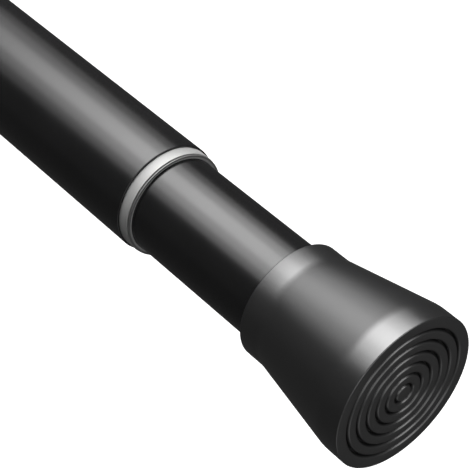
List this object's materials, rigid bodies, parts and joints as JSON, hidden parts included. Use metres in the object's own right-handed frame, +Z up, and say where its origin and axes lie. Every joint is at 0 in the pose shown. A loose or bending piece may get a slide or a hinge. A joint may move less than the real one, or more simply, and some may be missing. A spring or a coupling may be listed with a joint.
{
  "type": "spring tension rod",
  "caption": "Telescopic tension rod with a sprung inner tube, a twist lock inside and flared wall feet.",
  "frame": {"origin": "centre of the outer foot's wall face", "axes": "+X along the rod, from the outer foot to the inner foot; +Z up"},
  "size_m": [0.745, 0.0336, 0.0336],
  "materials": {
    "tube_paint": "smooth semi-gloss black paint",
    "foot_rubber": "smooth satin black moulding",
    "plug_plastic": "plain moulded black",
    "brushed_ring": "brushed around the ring",
    "bush_plastic": "silver-grey satin moulding",
    "lock_nylon": "natural nylon",
    "drag_rubber": "matt black rubber",
    "zinc_steel": "bright zinc plate",
    "spring_steel": "drawn spring wire",
    "rivet_aluminium": "plain"
  },
  "bodies": {
    "outer_assembly": {"outer_tube": "tube_paint", "outer_foot": "foot_rubber", "outer_end_plug": "plug_plastic", "trim_ring": "brushed_ring", "guide_bush": "bush_plastic"},
    "expander": {"expander_sleeve": "lock_nylon", "drag_ring": "drag_rubber"},
    "nut": {"cone_nut": "lock_nylon"},
    "screw": {"push_rod": "zinc_steel", "lock_stud": "zinc_steel", "stud_end_clip": "spring_steel", "sleeve_clip": "spring_steel", "thrust_washer": "zinc_steel", "jam_nut": "zinc_steel", "spring_seat": "zinc_steel", "seat_nut": "zinc_steel"},
    "inner_assembly": {"inner_tube": "tube_paint", "inner_foot": "foot_rubber", "inner_end_plug": "plug_plastic", "tube_end_bush": "lock_nylon", "bush_rivets": "rivet_aluminium", "spring_stop_plug": "lock_nylon", "stop_plug_pin": "spring_steel", "spring": "spring_steel"}
  },
  "joints": [
    {"name": "telescope_slide", "type": "slide", "parent": "outer_assembly", "child": "expander", "axis": [1, 0, 0], "range_m": [-0.01, 0.474]},
    {"name": "lock_twist", "type": "hinge", "parent": "expander", "child": "screw", "pos_m": [0.055, 0, 0], "axis": [1, 0, 0], "range_deg": [-1440, 0]},
    {"name": "nut_slide", "type": "slide", "parent": "expander", "child": "nut", "axis": [1, 0, 0], "range_m": [0, 0.004]},
    {"name": "spring_slide", "type": "slide", "parent": "screw", "child": "inner_assembly", "axis": [1, 0, 0], "range_m": [-0.024, 0], "stiffness_N_per_m": 2500, "springref_m": 0.01, "deforming": ["spring"]}
  ],
  "couplings": [
    {"joint": "nut_slide", "follows": "lock_twist", "m_per_rad": -0.00015915}
  ]
}
